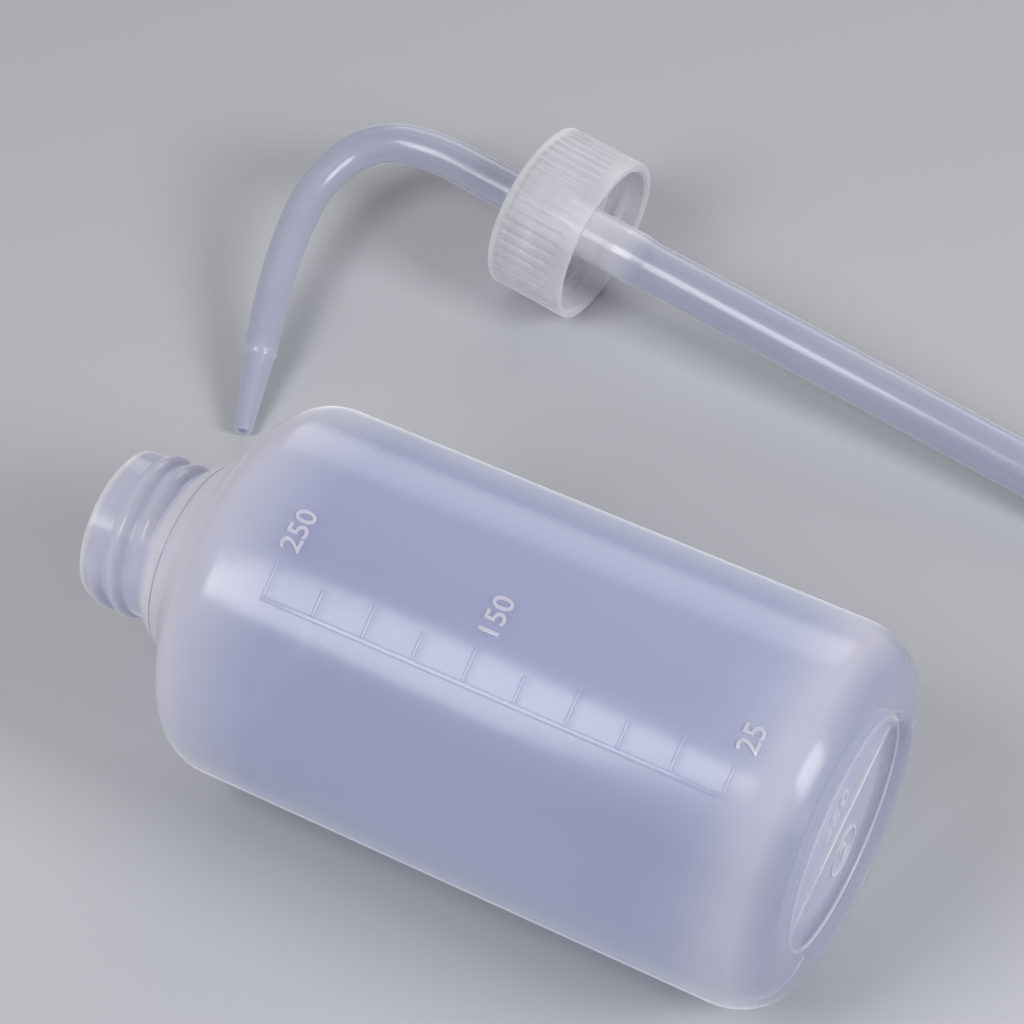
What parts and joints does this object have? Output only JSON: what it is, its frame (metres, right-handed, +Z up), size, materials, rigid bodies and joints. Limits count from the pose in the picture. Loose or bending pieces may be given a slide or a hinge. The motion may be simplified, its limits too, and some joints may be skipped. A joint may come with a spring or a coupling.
{
  "type": "wash bottle",
  "caption": "Squeeze wash bottle lying open, its screw cap with bent spout and dip tube laid beside it.",
  "frame": {"origin": "centre of the footprint, on the bench that everything lies on", "axes": "+Z up, -X along the bottle towards its mouth, +Y towards the head that lies behind the bottle"},
  "size_m": [0.1701, 0.158, 0.063],
  "materials": {
    "bottle_plastic": "milky translucent blown plastic, satin",
    "cap_plastic": "milky moulded plastic, satin",
    "tube_plastic": "milky translucent tube, half gloss"
  },
  "bodies": {
    "bottle_and_tubes": {"bottle": "bottle_plastic", "spout": "tube_plastic", "dip_tube": "tube_plastic"},
    "cap": {"screw_cap": "cap_plastic"}
  },
  "joints": [
    {"name": "cap_turn", "type": "hinge", "parent": "bottle_and_tubes", "child": "cap", "pos_m": [-0.02775, 0.06204, 0.01572], "axis": [-0.9918, 0.0815, 0.0989], "continuous": true}
  ]
}
